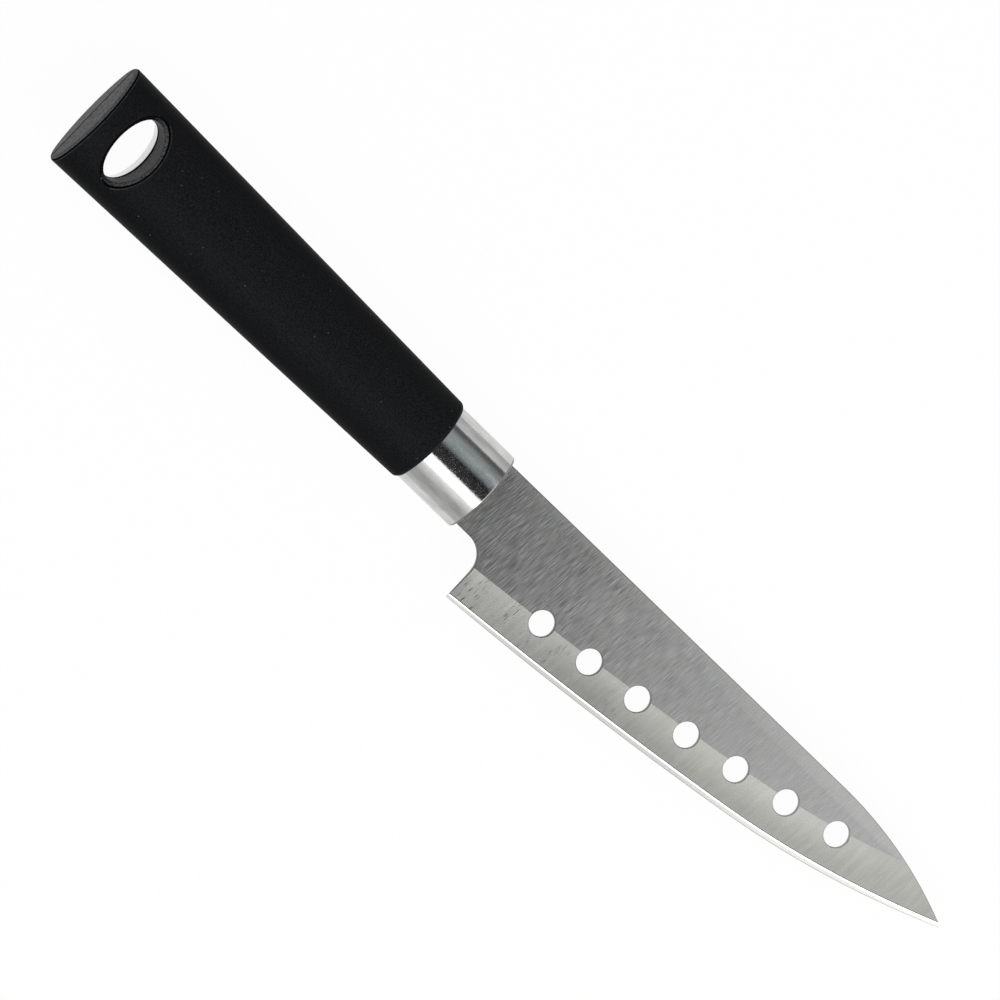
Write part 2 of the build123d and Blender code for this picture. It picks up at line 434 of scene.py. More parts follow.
class Shader(Nodes):
    """A material under construction, with a Principled shader."""

    def __init__(self, name: str) -> None:
        """Starts a material.

        Args:
            name: Its name.
        """
        self.material = bpy.data.materials.new(name)
        self.material.use_nodes = True
        super().__init__(self.material.node_tree)
        self.surface = self.tree.nodes["Principled BSDF"]

    def feed(self, **values: NodeSocket | float) -> None:
        """Feeds the Principled shader's own sockets, named with underscores for spaces."""
        for name, value in values.items():
            self.put(self.surface, name.replace("_", " "), value)

    def coordinates(self, scale: Point = (1, 1, 1), uv_map: str = "") -> NodeSocket:
        """Gives a pattern's coordinates.

        Args:
            scale: Pattern units to a metre along each axis.
            uv_map: Name of the piece's own UV map, or nothing for Object coordinates.

        Returns:
            The coordinates.
        """
        if uv_map:
            source = self.add("UVMap", uv_map=uv_map).outputs["UV"]
        else:
            source = self.add("TexCoord").outputs["Object"]
        return self.add("Mapping", {"Vector": source, "Scale": scale}).outputs["Vector"]

    def part(self, where: NodeSocket, axis: str) -> NodeSocket:
        """Picks one axis of a set of coordinates."""
        return self.add("SeparateXYZ", {"Vector": where}).outputs[axis]

    def along(self, ramp: Ramp) -> NodeSocket:
        """Maps the place along the knife by a ramp."""
        return self.spread(self.part(self.coordinates(), "X"), ramp)

    def from_border(self) -> NodeSocket:
        """Gives the distance from the border of the blade's zone."""
        return self.part(self.coordinates(uv_map=BORDERS), "Y")

    def noise(
        self, where: NodeSocket, scale: float = 1.0, detail: float = 2.0, share: float = 0.5
    ) -> NodeSocket:
        """Adds a noise pattern of a scale, with finer layers that each have a share of the last one."""
        inputs = {"Vector": where, "Scale": scale, "Detail": detail, "Roughness": share}
        return self.add("TexNoise", inputs).outputs["Fac"]

    def lines(self, size: Pair, detail: float = 2.0) -> NodeSocket:
        """Adds noise drawn out along the brushing, of a width and length in millimetres."""
        across, along = (1 / (side * MM) for side in size)
        return self.noise(self.coordinates((across, along, 1), BRUSHING), detail=detail)

    def dots(self, where: NodeSocket, cell: float, radius: float) -> NodeSocket:
        """Adds round dots, one to a cell of a size in millimetres, of a radius as a share of the cell."""
        cells = self.add("TexVoronoi", {"Vector": where, "Scale": 1 / (cell * MM)})
        return self.spread(cells.outputs["Distance"], (radius, 0.0, 0.0, 1.0))

    def relief(self, height: NodeSocket, strength: float, depth: float) -> None:
        """Adds a relief to the surface, over any relief that it has.

        Args:
            height: Pattern of heights.
            strength: Share of the relief that shows.
            depth: Its depth in millimetres.
        """
        inputs = {"Height": height, "Strength": strength, "Distance": depth * MM}
        earlier = self.surface.inputs["Normal"].links
        if earlier:
            inputs["Normal"] = earlier[0].from_socket
        self.feed(Normal=self.add("Bump", inputs).outputs["Normal"])

    def brush(self, strength: float) -> None:
        """Spreads highlights square to the brushing."""
        tangent = self.add("Tangent", direction_type="UV_MAP", uv_map=BRUSHING).outputs["Tangent"]
        self.feed(Tangent=tangent, Anisotropic=strength)


@dataclass(frozen=True)
class BrushedSteel:
    """Flat sides of the blade: short coarse scratches square to the spine that fade towards the tip, with
    painted shade near the ferrule and painted light towards the tip.
    """

    dark: Colour = (0.24, 0.245, 0.24)
    light: Colour = (0.52, 0.525, 0.518)
    spine_tone: Colour = (0.58, 0.58, 0.57)
    spine: Ramp = (0.0005, 0.002, 0.3, 0.0)
    scratch_size: Pair = (0.24, 3.2)
    scratch_detail: float = 1.0
    fade: Ramp = (0.0, 0.065, 1.0, 0.22)
    patch_scale: float = 260.0
    patches: Ramp = (0.38, 0.62, 0.6, 1.2)
    sheen_size: Pair = (0.8, 12.8)
    sheen: Ramp = (0.3, 0.7, -0.012, 0.012)
    # Painted shade: darker close to the ferrule. The next ramp is painted light, lighter towards the tip.
    painted_ferrule_shade: Ramp = (-0.012, 0.02, -0.03, 0.0)
    gain: Ramp = (0.035, 0.07, 0.0, 0.02)
    contrast: Ramp = (-0.17, 0.17, 0.0, 1.0)
    clouds: Grain = (90.0, 3.0, 0.6)
    roughness: Ramp = (0.3, 0.7, 0.24, 0.29)
    relief: Pair = (0.35, 0.02)
    highlight: float = 0.6

    def make(self) -> Material:
        """Makes the material.

        Returns:
            The material.
        """
        shader = Shader("brushed_steel")
        place = shader.coordinates()
        scratches = shader.lines(self.scratch_size, self.scratch_detail)
        patches = shader.spread(shader.noise(place, self.patch_scale), self.patches)
        contrast = shader.times(shader.along(self.fade), patches)
        streaks = shader.times(shader.calculate("SUBTRACT", scratches, NOISE_MEAN), contrast)
        # Painted shade near the ferrule and painted light towards the tip shift the streaks' colour.
        slow = shader.plus(shader.along(self.painted_ferrule_shade), shader.spread(shader.lines(self.sheen_size), self.sheen))
        both = shader.plus(streaks, shader.plus(slow, shader.along(self.gain)))
        colour = shader.blend(shader.spread(both, self.contrast), self.dark, self.light)
        spine = shader.spread(shader.from_border(), self.spine)
        rough = shader.spread(shader.noise(place, *self.clouds), self.roughness)
        shader.feed(Base_Color=shader.blend(spine, colour, self.spine_tone), Metallic=1.0, Roughness=rough)
        shader.relief(streaks, *self.relief)
        shader.brush(self.highlight)
        return shader.material


@dataclass(frozen=True)
class GroundSteel:
    """Primary grind of the blade: satin, with very fine lines square to the edge, a few scratches, and
    painted reflections.
    """

    dark: Colour = (0.34, 0.343, 0.322)
    light: Colour = (0.405, 0.408, 0.378)
    heel_tone: Colour = (0.57, 0.57, 0.54)
    # Painted reflection: a lighter tone that rises towards the grind's line and fades towards the tip.
    painted_reflection_tone: Colour = (0.76, 0.755, 0.715)
    scratched: Colour = (0.2, 0.2, 0.19)
    # Painted reflection: a thin dark line along the shoulder of the sharpened edge.
    painted_shoulder_reflection: Colour = (0.08, 0.08, 0.075)
    line_size: Pair = (0.15, 4.0)
    group_size: Pair = (1.25, 8.0)
    contrast: Ramp = (0.7, 1.3, 0.0, 1.0)
    heel: Ramp = (0.0, 0.03, 1.0, 0.0)
    rise: Ramp = (0.0015, 0.0062, 0.0, 0.32)
    reflection_fade: Ramp = (0.075, 0.1, 1.0, 0.25)
    scratch_size: Pair = (1 / 6, 20 / 9)
    scratch_detail: float = 0.0
    scratches: Ramp = (0.64, 0.72, 0.0, 1.0)
    scratch_fade: Ramp = (0.02, 0.05, 1.0, 0.0)
    patch_grain: Grain = (180.0, 1.0, 0.5)
    patches: Ramp = (0.5, 0.58, 0.0, 1.0)
    shoulder: Ramp = (0.0001, 0.0002, 0.85, 0.0)
    roughness: Ramp = (0.35, 0.65, 0.25, 0.28)
    relief: Pair = (0.1, 0.01)
    highlight: float = 0.5

    def make(self) -> Material:
        """Makes the material.

        Returns:
            The material.
        """
        shader = Shader("ground_steel")
        inside = shader.from_border()
        lines, groups = shader.lines(self.line_size), shader.lines(self.group_size)
        both = shader.spread(shader.plus(lines, groups), self.contrast)
        colour = shader.blend(both, self.dark, self.light)
        colour = shader.blend(shader.along(self.heel), colour, self.heel_tone)
        # Painted reflection, lighter towards the grind's line and weaker towards the tip.
        rise = shader.times(shader.spread(inside, self.rise), shader.along(self.reflection_fade))
        colour = shader.blend(rise, colour, self.painted_reflection_tone)
        deep = shader.spread(shader.lines(self.scratch_size, self.scratch_detail), self.scratches)
        marks = shader.times(deep, shader.along(self.scratch_fade))
        patches = shader.spread(shader.noise(shader.coordinates(), *self.patch_grain), self.patches)
        colour = shader.blend(shader.times(marks, patches), colour, self.scratched)
        # Painted dark reflection along the shoulder.
        colour = shader.blend(shader.spread(inside, self.shoulder), colour, self.painted_shoulder_reflection)
        shader.feed(Base_Color=colour, Metallic=1.0, Roughness=shader.spread(groups, self.roughness))
        shader.relief(lines, *self.relief)
        shader.brush(self.highlight)
        return shader.material


@dataclass(frozen=True)
class HonedEdge:
    """Sharpened edge, with faint marks: a painted bright reflection above, a duller one below that is
    lighter towards the tip, and painted shade, darkest at the very edge.
    """

    # Painted reflections: bright above, dull below, a little lighter below towards the tip. The darkest
    # tone is painted shade at the very edge.
    bright: Colour = (0.9, 0.9, 0.88)
    dull: Colour = (0.35, 0.35, 0.342)
    far_dull: Colour = (0.42, 0.42, 0.41)
    painted_shading_tone: Colour = (0.2, 0.2, 0.192)
    mark_size: Pair = (0.12, 50 / 3)
    waves: Ramp = (0.3, 0.7, -0.04, 0.04)
    far: Ramp = (0.055, 0.075, 0.0, 1.0)
    upper_part: Ramp = (-0.32, -0.22, 0.0, 1.0)
    very_edge: Ramp = (-0.93, -0.85, 1.0, 0.0)
    roughness: Ramp = (0.3, 0.7, 0.2, 0.35)
    relief: Pair = (0.2, 0.01)

    def make(self) -> Material:
        """Makes the material.

        Returns:
            The material.
        """
        shader = Shader("honed_edge")
        marks = shader.lines(self.mark_size)
        wavy = shader.plus(shader.from_border(), shader.spread(marks, self.waves))
        # Painted reflection and painted shade across the sharpened edge.
        low = shader.blend(shader.along(self.far), self.dull, self.far_dull)
        colour = shader.blend(shader.spread(wavy, self.upper_part), low, self.bright)
        colour = shader.blend(shader.spread(wavy, self.very_edge), colour, self.painted_shading_tone)
        shader.feed(Base_Color=colour, Metallic=1.0, Roughness=shader.spread(marks, self.roughness))
        shader.relief(marks, *self.relief)
        return shader.material


@dataclass(frozen=True)
class CutSteel:
    """Punched holes and the blade's outline: darker, with the punch's fine upright marks, and painted light
    towards the tip.
    """

    dark: Colour = (0.07, 0.07, 0.068)
    light: Colour = (0.16, 0.16, 0.155)
    # Painted light: the walls grow lighter towards the tip.
    painted_tip_light: Colour = (0.4, 0.4, 0.385)
    mark_scale: Point = (9000, 9000, 900)
    contrast: Ramp = (0.35, 0.65, 0.0, 1.0)
    far: Ramp = (0.02, 0.09, 0.0, 0.6)
    roughness: Ramp = (0.3, 0.7, 0.3, 0.45)
    relief: Pair = (0.2, 0.01)

    def make(self) -> Material:
        """Makes the material.

        Returns:
            The material.
        """
        shader = Shader("cut_steel")
        marks = shader.noise(shader.coordinates(self.mark_scale))
        colour = shader.blend(shader.spread(marks, self.contrast), self.dark, self.light)
        # Painted light towards the tip.
        colour = shader.blend(shader.along(self.far), colour, self.painted_tip_light)
        shader.feed(Base_Color=colour, Metallic=1.0, Roughness=shader.spread(marks, self.roughness))
        shader.relief(marks, *self.relief)
        return shader.material


@dataclass(frozen=True)
class PolishedSteel:
    """Ferrule: polished, with fine scuffs round it, specks, and a painted darker reflection on the rounded
    front.
    """

    front: float
    dark: Colour = (0.5, 0.51, 0.51)
    light: Colour = (0.64, 0.64, 0.625)
    # Painted reflection: a darker tone over the rounded front.
    rim: Colour = (0.2, 0.2, 0.185)
    rim_reach: Pair = (0.6, 0.45)
    scuff_scale: Point = (6500, 600, 600)
    smear_scale: Point = (260, 900, 900)
    streaks: Grain = (1.0, 3.0, 0.6)
    specks: Grain = (5200.0, 2.0, 0.6)
    contrast: Ramp = (0.35, 0.7, 0.0, 1.0)
    roughness: Ramp = (0.4, 0.75, 0.04, 0.14)
    pits: Ramp = (0.6, 0.7, 0.0, 0.2)
    smear_relief: Pair = (0.12, 0.02)
    scuff_relief: Pair = (0.45, 0.01)
    speck_relief: Pair = (0.5, 0.01)

    def make(self) -> Material:
        """Makes the material.

        Returns:
            The material.
        """
        shader = Shader("polished_steel")
        scuffs = shader.noise(shader.coordinates(self.scuff_scale), *self.streaks)
        smears = shader.noise(shader.coordinates(self.smear_scale), *self.streaks)
        specks = shader.noise(shader.coordinates(), *self.specks)
        colour = shader.blend(shader.spread(smears, self.contrast), self.light, self.dark)
        # Painted darker reflection over the rounded front.
        start, end = (self.front - reach * MM for reach in self.rim_reach)
        colour = shader.blend(shader.along((start, end, 0.0, 1.0)), colour, self.rim)
        pits = shader.spread(specks, self.pits)
        rough = shader.plus(shader.spread(scuffs, self.roughness), pits)
        shader.feed(Base_Color=colour, Metallic=1.0, Roughness=rough)
        shader.relief(smears, *self.smear_relief)
        shader.relief(scuffs, *self.scuff_relief)
        shader.relief(specks, *self.speck_relief)
        return shader.material


@dataclass(frozen=True)
class SoftPlastic:
    """Handle: matt black moulding with a fine pebble, painted light that makes it lighter on top, and a
    little dust.
    """

    middle_z: float
    name: str = "soft_plastic"
    # Painted light: the deep tone is the shaded sides, and the lighter tone after it shows over the top,
    # where the crown ramp lets it in.
    deep: Colour = (0.0015, 0.0016, 0.0018)
    painted_shading_tone: Colour = (0.0135, 0.0141, 0.016)
    dust: Colour = grey(0.16)
    crown: Ramp = (0.0025, 0.0068, 0.05, 1.0)
    grain: float = 0.3
    grain_layers: Pair = (4.0, 0.6)
    grain_depth: float = 0.06
    grain_relief: float = 0.35
    contrast: Ramp = (0.32, 0.68, 0.0, 1.0)
    fade: Ramp | None = None
    speck_cell: float = 2.1
    speck_radius: float = 0.075
    patch_scale: float = 150.0
    patches: Ramp = (0.42, 0.52, 0.0, 1.0)
    shine: float = 0.05
    smooth: float = 0.5
    smooth_range: Ramp = (0.3, 0.7, 0.0, 0.14)
    gloss: float = 0.0
    gloss_index: float = 2.0
    gloss_roughness: float = 0.1

    def make(self) -> Material:
        """Makes the material.

        Returns:
            The material.
        """
        shader = Shader(self.name)
        where = shader.coordinates()
        mottle = shader.noise(where, 1 / (self.grain * MM), *self.grain_layers)
        height = shader.calculate("SUBTRACT", shader.part(where, "Z"), self.middle_z)
        crown = shader.spread(shader.calculate("ABSOLUTE", height), self.crown)
        # Painted light: a lighter mottled tone over the top of the handle.
        painted_light_share = shader.times(shader.spread(mottle, self.contrast), crown)
        if self.fade:
            painted_light_share = shader.times(painted_light_share, shader.along(self.fade))
        patches = shader.spread(shader.noise(where, self.patch_scale), self.patches)
        specks = shader.times(shader.dots(where, self.speck_cell, self.speck_radius), patches)
        start, end, low, high = self.smooth_range
        shader.feed(
            Base_Color=shader.blend(specks, shader.blend(painted_light_share, self.deep, self.painted_shading_tone), self.dust),
            Roughness=shader.spread(mottle, (start, end, self.smooth + low, self.smooth + high)),
            Specular_IOR_Level=self.shine,
            Coat_Weight=self.gloss,
            Coat_IOR=self.gloss_index,
            Coat_Roughness=self.gloss_roughness,
        )
        shader.relief(mottle, self.grain_relief, self.grain_depth)
        return shader.material

    def kinds(self, hole_x: float, hole_reach: float) -> list[Material]:
        """Makes the materials of all kinds of surface on the handle.

        Args:
            hole_x: Place of the hanging hole's middle along the knife, in metres.
            hole_reach: Distance to each side of it over which the bend's painted light fades, in metres.

        Returns:
            The materials, in the kinds' order.
        """
        pale = replace(self, crown=(-0.002, -0.001, 0.05, 1.0))
        coarse = replace(pale, grain=0.8, grain_depth=0.24)
        fade = (hole_x - hole_reach, hole_x + hole_reach, 0.0, 1.0)
        # Copies of the moulding with painted light and shade: END has a coarser grain and a lighter colour
        # that is painted light; RIM is dark, painted shade along rims and a dark joint along the joint;
        # LIP, the highlight kind and BEND are lighter, painted light, BEND growing lighter across the hole
        # away from the butt.
        looks = {
            Moulding.BODY: self,
            Moulding.END: replace(coarse, deep=grey(0.015), painted_shading_tone=grey(0.126), smooth=0.42),
            Moulding.RIM: replace(self, painted_shading_tone=grey(0.003), shine=0.0),
            Moulding.WALL: replace(pale, grain_depth=0.01, shine=1.0, smooth=0.12, gloss=1.0),
            Moulding.LIP: replace(pale, deep=grey(0.03), painted_shading_tone=grey(0.11)),
            Moulding.PAINTED_HIGHLIGHT: replace(pale, deep=grey(0.006), painted_shading_tone=grey(0.05)),
            Moulding.BEND: replace(pale, deep=grey(0.002), painted_shading_tone=grey(0.12), fade=fade),
        }
        names = {kind: f"moulded_{kind.name.lower()}" for kind in Moulding} | {Moulding.BODY: self.name}
        return [replace(looks[kind], name=names[kind]).make() for kind in Moulding]


@dataclass(frozen=True)
class CastResin:
    """Filling of the ferrule, dull and a little cloudy."""

    dark: Colour = (0.15, 0.15, 0.14)
    light: Colour = (0.25, 0.25, 0.24)
    clouds: Grain = (500.0, 4.0, 0.6)
    roughness: Ramp = (0.3, 0.7, 0.45, 0.6)
    relief: Pair = (0.2, 0.05)

    def make(self) -> Material:
        """Makes the material.

        Returns:
            The material.
        """
        shader = Shader("cast_resin")
        clouds = shader.noise(shader.coordinates(), *self.clouds)
        rough = shader.spread(clouds, self.roughness)
        shader.feed(Base_Color=shader.blend(clouds, self.dark, self.light), Roughness=rough)
        shader.relief(clouds, *self.relief)
        return shader.material


@dataclass
class SubAssembly:
    """What the knife's sub-assemblies share: their seat, and how a piece is finished and dressed."""

    seat: Seat

    def finish(self, name: str, mesh: BMesh, nodes: tuple[str, ...], slot: str) -> Object:
        """Makes an object of a finished mesh and ties it to the frame.

        Args:
            name: Name of the piece.
            mesh: Its mesh, in millimetres from the butt.
            nodes: CAD nodes that the piece stands for.
            slot: Material slot of the record; not used.

        Returns:
            The piece's object, with its large faces setting the shading of the small ones.
        """
        merge(mesh)
        face_outwards(mesh)
        self.seat.settle(mesh)
        for face in mesh.faces:
            face.smooth = True
        piece = to_object(name, mesh)
        piece.modifiers.new("even_normals", "WEIGHTED_NORMAL").keep_sharp = True
        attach(piece, "root")
        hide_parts(*nodes)
        LOG.info("%s: %d faces", name, len(piece.data.polygons))
        return piece

    def dress(self, piece: Object, finishes: list[Material]) -> None:
        """Gives each kind of surface its finish, in the kinds' order."""
        for finish in finishes:
            piece.data.materials.append(finish)


@dataclass(frozen=True)
class Station:
    """A place along the handle at which its skin has a section."""

    x: float
    oval: Oval
    inset: float = 0.0
    lean: float = 0.0


@dataclass
class HandleHalf(SubAssembly):
    """One moulded half of the handle: a shell with half of the hanging hole and half of the nose."""

    upper: bool = True
    length: float = 89.7
    butt_width: float = 23.2
    front_width: float = 18.7
    butt_thickness: float = 15.798
    front_thickness: float = 15.4
    side_share: float = 0.75
    wall: float = 2.2
    butt_round: float = 0.9
    butt_crown: float = 0.4
    shoulder_round: float = 1.0
    nose: Oval = Oval(16.1, 10.4, 0.6)
    nose_length: float = 9.0
    hole_centre: float = 9.55
    hole_length: float = 8.3
    hole_width: float = 14.4
    hole_draft: float = 0.5
    hole_round: float = 1.0
    hole_fade: float = 1.8
    window_reach: float = 7.4
    hole_wall: float = 3.4
    cavity_front_wall: float = 5.0
    slot_width: float = 11.6
    slot_height: float = 0.725
    seam: float = 0.1
    joint_band: float = 0.3
    # Painted light and shade on the butt's rounding and the hole's rim: where the highlight, the pale lip
    # and the dark line go.
    painted_highlight_from: float = 0.05
    rim_dark_from: float = 0.2
    rim_dark_to: float = 0.6
    painted_highlight_rings: int = 1
    dark_rings: int = 2
    painted_highlight_start: float = 1.2
    side_steps: int = 14
    flat_steps: int = 26
    window_steps: int = 22
    length_steps: int = 18
    round_steps: int = 8
    patch_rings: int = 5
    wall_rings: int = 6
    corner_tries: int = 4

    def oval_at(self, x: float) -> Oval:
        """Finds the section of the tapered handle at a place along it.

        Args:
            x: The place.

        Returns:
            The section.
        """
        share = x / self.length
        width = self.butt_width + (self.front_width - self.butt_width) * share
        thickness = self.butt_thickness + (self.front_thickness - self.butt_thickness) * share
        return Oval(width, thickness, self.side_share)

    def station(self, x: float, inset: float = 0.0, lean: float = 0.0) -> Station:
        """Gives the station at a place along the tapered handle."""
        return Station(x, self.oval_at(x), inset, lean)

    def stations(self) -> list[Station]:
        """Lists the sections of the skin.

        Returns:
            The sections, from the butt to the nose.
        """
        low, high = self.hole_centre - self.window_reach, self.hole_centre + self.window_reach
        end = self.length - self.shoulder_round
        plain = spaced(low, high, self.window_steps) + spaced(high, end, self.length_steps)[1:-1]
        butt = rounding(self.butt_round, self.round_steps)
        shoulder = reversed(rounding(self.shoulder_round, self.round_steps))
        nose = [Station(x, self.nose) for x in (self.length, self.length + self.nose_length)]
        return [
            *(self.station(along, inset, self.butt_crown) for along, inset in butt),
            *(self.station(x) for x in plain),
            *(self.station(self.length - along, inset) for along, inset in shoulder),
            *nose,
        ]

    def section(self, station: Station) -> list[Point]:
        """Gives the points of the skin's section at a station.

        Args:
            station: The station.

        Returns:
            The points, from the spine side to the edge side.
        """
        points = []
        for angle in station.oval.angles(self.side_steps, self.flat_steps):
            y, z = station.oval.place(angle, station.inset)
            points.append((station.x + station.lean * z / (self.butt_thickness / 2), y, z))
        return points

    def on_wall(self, turn: float, height: float) -> Vector:
        """Finds a point of the hanging hole's drafted wall.

        Args:
            turn: Angle round the hole.
            height: Height above the joint.

        Returns:
            The point.
        """
        grown = self.hole_draft * (height / (self.butt_thickness / 2) - 1)
        x = self.hole_centre + (self.hole_length / 2 + grown) * math.cos(turn)
        return Vector((x, (self.hole_width / 2 + grown) * math.sin(turn), height))

    def on_skin(self, x: float, y: float) -> Vector:
        """Gives the point of the handle's upper surface over a place."""
        return Vector((x, y, self.oval_at(x).height_at(y)))

    def rim(self, turn: float) -> tuple[list[Vector], Vector]:
        """Finds the section of the hanging hole's rounded rim at an angle round the hole.

        Args:
            turn: Angle round the hole.

        Returns:
            The rim's points from the handle's surface to the hole's wall, and the point where the
            wall meets the joint.
        """
        away = Vector((math.cos(turn) * self.hole_width, math.sin(turn) * self.hole_length, 0)).normalized()
        corner, foot = self.on_wall(turn, self.butt_thickness / 2), self.on_wall(turn, 0.0)
        for _ in range(self.corner_tries):
            corner = self.on_wall(turn, self.on_skin(corner.x, corner.y).z)
        slope = self.oval_at(corner.x).slope_at(corner.y) * away.y
        out, down = (away + Vector((0, 0, slope))).normalized(), (foot - corner).normalized()
        half_angle = out.angle(down) / 2
        reach = self.hole_round / math.tan(half_angle)
        centre = corner + (out + down).normalized() * self.hole_round / math.sin(half_angle)
        first, last = ((corner + way * reach - centre).normalized() for way in (out, down))
        shares = spaced(0.0, 1.0, self.round_steps)
        arc = [centre + first.slerp(last, share) * self.hole_round for share in shares]
        arc[0] = self.on_skin(arc[0].x, arc[0].y)
        return arc, foot

    def over_hole(self, place: Vector) -> bool:
        """Whether a place on the skin lies in the hole's window, on the flatter arc.

        Args:
            place: The place.

        Returns:
            True if it does.
        """
        oval = self.oval_at(place.x)
        reach = oval.flat_radius * math.cos(oval.side_turn)
        return abs(place.x - self.hole_centre) < self.window_reach and abs(place.y) < reach

    def open_hole(self, mesh: BMesh) -> None:
        """Cuts a window into the skin and leads it in rings over the hole's rim to the joint.

        Args:
            mesh: Mesh of the skin.
        """
        inside = [face for face in mesh.faces if self.over_hole(face.calc_center_median())]
        edges = dict.fromkeys(edge for face in inside for edge in face.edges)
        bmesh.ops.delete(mesh, geom=inside, context="FACES_ONLY")
        border = [edge for edge in edges if edge.is_boundary]
        bmesh.ops.delete(mesh, geom=[edge for edge in edges if edge.is_wire], context="EDGES")
        row = mesh.verts.layers.int[ROW]
        starts, rims = [], []
        for vert in dict.fromkeys(vert for edge in border for vert in edge.verts):
            vert[row] = len(starts)
            starts.append(vert.co.copy())
            beyond = vert.co.x - self.hole_centre
            rims.append(self.rim(math.atan2(vert.co.y / self.hole_width, beyond / self.hole_length)))
        for share in spaced(0.0, 1.0, self.patch_rings)[1:]:
            between = [start.lerp(arc[0], share) for start, (arc, _) in zip(starts, rims)]
            border = extrude_to(mesh, border, [self.on_skin(place.x, place.y) for place in between])
        for step in range(1, self.round_steps + 1):
            border = extrude_to(mesh, border, [arc[step] for arc, _ in rims])
            for edge in border:
                beyond = edge.link_faces[0].calc_center_median().x - self.hole_centre
                mark_beside([edge], self.rim_kind(beyond, step))
        for share in spaced(0.0, 1.0, self.wall_rings)[1:]:
            border = extrude_to(mesh, border, [arc[-1].lerp(foot, share) for arc, foot in rims])
            # The upper half's wall takes the end face's lighter colour, which is painted light.
            mark_beside(border, Moulding.END if self.upper else Moulding.WALL)
        if self.upper:
            mark_beside(border, Moulding.RIM)

    def rim_kind(self, beyond: float, step: int) -> Moulding:
        """Finds the kind of a face on the hanging hole's rim.

        Args:
            beyond: The face's distance from the hole's middle, away from the butt.
            step: Its step over the rounding, from 1 at the outside.

        Returns:
            The kind: a painted highlight or plain outside, then a painted dark line, then the bend to the
                wall, whose colour is painted light.
        """
        if step <= self.painted_highlight_rings:
            return Moulding.PAINTED_HIGHLIGHT if beyond > self.painted_highlight_start else Moulding.BODY
        if beyond < 0 and step <= self.dark_rings:
            return Moulding.BODY
        return Moulding.RIM if step <= self.painted_highlight_rings + self.dark_rings else Moulding.BEND

    def mark_butt(self, mesh: BMesh) -> None:
        """Gives the butt's rounding its kinds by how far each face turns to the butt: a pale lip next to
        the end, a dark line and a highlight line, all painted light and shade.

        Args:
            mesh: Mesh of the skin.
        """
        reach = self.butt_round + self.butt_crown
        for face in mesh.faces:
            if face.calc_center_median().x > reach or face.material_index == Moulding.END.value:
                continue
            face.normal_update()
            facing = abs(face.normal.x)
            if facing > self.rim_dark_to:
                face.material_index = Moulding.LIP.value
            elif facing > self.rim_dark_from:
                face.material_index = Moulding.RIM.value
            elif facing > self.painted_highlight_from:
                face.material_index = Moulding.PAINTED_HIGHLIGHT.value

    def darken_joint(self, mesh: BMesh) -> None:
        """Splits a dark strip off the end face along the joint.

        Args:
            mesh: Mesh of the skin.
        """
        end = next(face for face in mesh.faces if face.material_index == Moulding.END.value)
        geometry = [end, *end.edges, *end.verts]
        level = (0, 0, self.joint_band)
        bmesh.ops.bisect_plane(mesh, geom=geometry, dist=MERGE, plane_co=level, plane_no=(0, 0, 1))
        for face in mesh.faces:
            if face.material_index == Moulding.END.value and face.calc_center_median().z < self.joint_band:
                face.material_index = Moulding.RIM.value

    def close_end(self, mesh: BMesh, chain: list[BMEdge], kind: Moulding) -> None:
        """Fills an end face that a chain of edges bounds above the joint.

        Args:
            mesh: Mesh of the half.
            chain: Edges from joint to joint over the end face.
            kind: Kind of surface that the face has.
        """
        verts = {vert for edge in chain for vert in edge.verts}
        sides = [[vert for vert in verts if vert.co.y * side > 0] for side in (-1, 1)]
        closing = mesh.edges.new([min(side, key=lambda vert: vert.co.z) for side in sides])
        bmesh.ops.edgeloop_fill(mesh, edges=chain + [closing], mat_nr=kind.value)

    def build(self) -> Object:
        """Makes the half's shell.

        Returns:
            The piece.
        """
        mesh = bmesh.new()
        butt, nose = sweep(mesh, [self.section(station) for station in self.stations()], closed=False)
        self.close_end(mesh, butt, Moulding.END)
        self.close_end(mesh, nose, Moulding.BODY)
        self.mark_butt(mesh)
        self.darken_joint(mesh)
        self.open_hole(mesh)
        merge(mesh)
        joint = [edge for edge in mesh.edges if edge.is_boundary]
        bmesh.ops.triangle_fill(mesh, use_beauty=True, use_dissolve=False, edges=joint)
        face_outwards(mesh)
        round_edges(mesh, joint, self.seam, Moulding.RIM)
        for cutter in (self.cavity(), self.tang_slot()):
            mesh = cut_away(mesh, cutter, Moulding)
        if not self.upper:
            bmesh.ops.scale(mesh, vec=(1, 1, -1), verts=mesh.verts)
        side = "upper" if self.upper else "lower"
        return self.finish(f"handle_{side}_moulding", mesh, (f"handle_{side}_half",), "handle_plastic")

    def cavity(self) -> BMesh:
        """Makes the hollow between the hanging hole and the ferrule.

        Returns:
            The hollow, closed at both ends.
        """
        mesh = bmesh.new()
        start = self.hole_centre + self.hole_length / 2 + self.hole_wall
        ends = (start, self.length - self.cavity_front_wall)
        rings = [self.oval_at(x).ring(x, self.wall, self.side_steps, self.flat_steps) for x in ends]
        for end in sweep(mesh, rings, closed=True):
            bmesh.ops.edgeloop_fill(mesh, edges=end)
        face_outwards(mesh)
        return mesh

    def tang_slot(self) -> BMesh:
        """Makes the room that the tang fills between the hollow and the nose's front.

        Returns:
            A box that overlaps the hollow and passes the nose.
        """
        mesh = bmesh.new()
        start, end = self.length - 2 * self.cavity_front_wall, self.length + 2 * self.nose_length
        bmesh.ops.create_cube(mesh, size=1)
        bmesh.ops.scale(mesh, vec=(end - start, self.slot_width, 2 * self.slot_height), verts=mesh.verts)
        bmesh.ops.translate(mesh, vec=((start + end) / 2, 0, 0), verts=mesh.verts)
        return mesh


